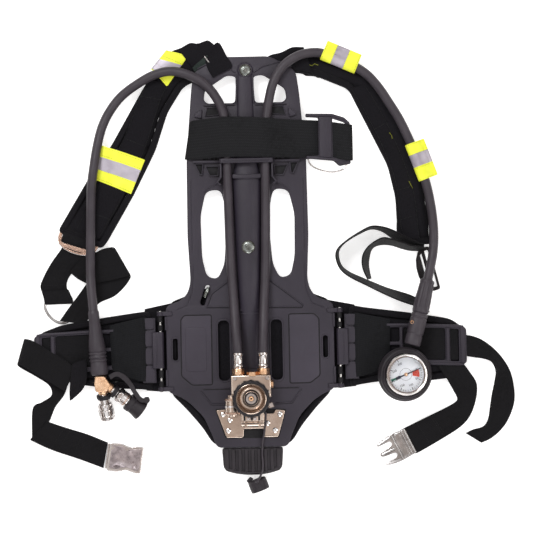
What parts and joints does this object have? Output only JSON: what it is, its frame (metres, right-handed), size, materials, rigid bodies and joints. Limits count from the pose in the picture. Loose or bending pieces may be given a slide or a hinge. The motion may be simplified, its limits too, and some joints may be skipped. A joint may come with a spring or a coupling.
{
  "type": "breathing apparatus",
  "caption": "Carrying set of a compressed air breathing apparatus: backplate with padded harness, cylinder strap, pressure reducer, hoses, couplings, whistle and pressure gauge.",
  "frame": {"origin": "on the flat underside of the lumbar pad, midway between the two hip hinges and on the line through their middles", "axes": "+X to the right seen from the cylinder side, +Y up along the backplate to the shoulder end, +Z away from the wearer; the set lies flat on its wearer side"},
  "size_m": [0.6972, 0.6363, 0.075],
  "materials": {
    "plate_plastic": "dark purple-grey moulded composite, satin",
    "hose_rubber": "grey-black rubber cover",
    "black_rubber": "black moulded rubber",
    "pad_fabric": "black woven cover over foam",
    "webbing": "black woven webbing",
    "reflective_tape": "lime tape with a silver stripe",
    "chrome": "polished plating",
    "steel": "stainless steel",
    "brass": "machined brass",
    "dial_white": "white printed dial",
    "glass": "clear gauge window",
    "needle_black": "black pointer"
  },
  "bodies": {
    "harness": {"backplate": "plate_plastic", "left_hinge_pin": "steel", "right_hinge_pin": "steel", "bumper_foot": "black_rubber", "lumbar_pad": "pad_fabric", "left_shoulder_pad": "pad_fabric", "right_shoulder_pad": "pad_fabric", "upper_left_band": "reflective_tape", "lower_left_band": "reflective_tape", "upper_right_band": "reflective_tape", "lower_right_band": "reflective_tape", "left_slider_buckle": "brass", "right_slider_buckle": "brass", "left_pull_strap": "webbing", "left_lower_webbing": "webbing", "right_lower_webbing": "webbing", "right_pull_strap": "webbing", "cylinder_strap": "webbing", "reducer_bracket": "chrome", "lanyard": "black_rubber", "dust_cap": "black_rubber", "supply_hose": "hose_rubber", "gauge_hose": "hose_rubber", "supply_hose_sleeve": "hose_rubber", "gauge_hose_sleeve": "hose_rubber", "whistle": "hose_rubber", "manifold": "brass", "supply_coupling": "chrome", "branch_coupling": "chrome", "cap_tether": "black_rubber", "gauge_boot": "black_rubber", "gauge_case": "chrome", "gauge_dial": "dial_white", "gauge_lens": "glass"},
    "left_wing": {"left_wing_plate": "plate_plastic", "left_wing_pad": "pad_fabric", "left_belt_frame": "plate_plastic", "left_belt_strap": "webbing", "female_buckle": "chrome"},
    "right_wing": {"right_wing_plate": "plate_plastic", "right_wing_pad": "pad_fabric", "right_belt_frame": "plate_plastic", "right_belt_strap": "webbing", "belt_tail": "webbing", "male_buckle": "chrome"},
    "lever": {"strap_lever": "plate_plastic"},
    "bail": {"strap_bail": "steel"},
    "ring": {"pull_ring": "chrome"},
    "reducer": {"reducer_body": "brass", "supply_ferrule": "chrome", "gauge_ferrule": "chrome", "connector": "chrome", "relief_valve": "chrome", "reducer_spring": "steel"},
    "piston": {"reducer_piston": "brass"},
    "handwheel": {"handwheel": "black_rubber"},
    "sleeve": {"coupling_sleeve": "steel"},
    "poppet": {"coupling_poppet": "steel"},
    "cap": {"coupling_cap": "black_rubber"},
    "needle": {"gauge_needle": "needle_black"}
  },
  "joints": [
    {"name": "left_wing_hinge", "type": "hinge", "parent": "harness", "child": "left_wing", "pos_m": [-0.126, 0, 0.018], "axis": [0, -1, 0], "range_deg": [0, 60]},
    {"name": "right_wing_hinge", "type": "hinge", "parent": "harness", "child": "right_wing", "pos_m": [0.126, 0, 0.018], "axis": [0, 1, 0], "range_deg": [0, 60]},
    {"name": "strap_lever_hinge", "type": "hinge", "parent": "harness", "child": "lever", "pos_m": [0.088, 0.292, 0.0325], "axis": [0, -1, 0], "range_deg": [0, 110]},
    {"name": "strap_bail_swing", "type": "hinge", "parent": "lever", "child": "bail", "pos_m": [0.0865, 0.2649, 0.0325], "axis": [-0.9885, 0.1511, 0], "range_deg": [0, 90]},
    {"name": "pull_ring_swing", "type": "hinge", "parent": "harness", "child": "ring", "pos_m": [-0.2685, 0.0725, 0.0022], "axis": [0.9996, -0.027, 0], "range_deg": [0, 60]},
    {"name": "reducer_tilt", "type": "hinge", "parent": "harness", "child": "reducer", "pos_m": [0, -0.104, 0.0265], "axis": [1, 0, 0], "range_deg": [0, 15]},
    {"name": "handwheel_spin", "type": "hinge", "parent": "reducer", "child": "handwheel", "pos_m": [0, -0.066, 0.06], "axis": [0, 0, 1], "continuous": true},
    {"name": "reducer_piston_slide", "type": "slide", "parent": "reducer", "child": "piston", "axis": [1, 0, 0], "range_m": [0, 0.0015], "stiffness_N_per_m": 2000},
    {"name": "coupling_sleeve_slide", "type": "slide", "parent": "harness", "child": "sleeve", "axis": [-0.1203, 0.9522, 0.2807], "range_m": [0, 0.005], "stiffness_N_per_m": 1500},
    {"name": "coupling_poppet_slide", "type": "slide", "parent": "harness", "child": "poppet", "axis": [-0.1203, 0.9522, 0.2807], "range_m": [0, 0.004], "stiffness_N_per_m": 1200},
    {"name": "coupling_cap_pull", "type": "slide", "parent": "harness", "child": "cap", "axis": [0.7811, -0.6008, -0.1702], "range_m": [0, 0.03]},
    {"name": "gauge_needle_turn", "type": "hinge", "parent": "harness", "child": "needle", "pos_m": [0.213, -0.038, 0.0224], "axis": [0.1045, 0, 0.9945], "range_deg": [-270, 0], "stiffness_Nm_per_rad": 0.0001}
  ]
}
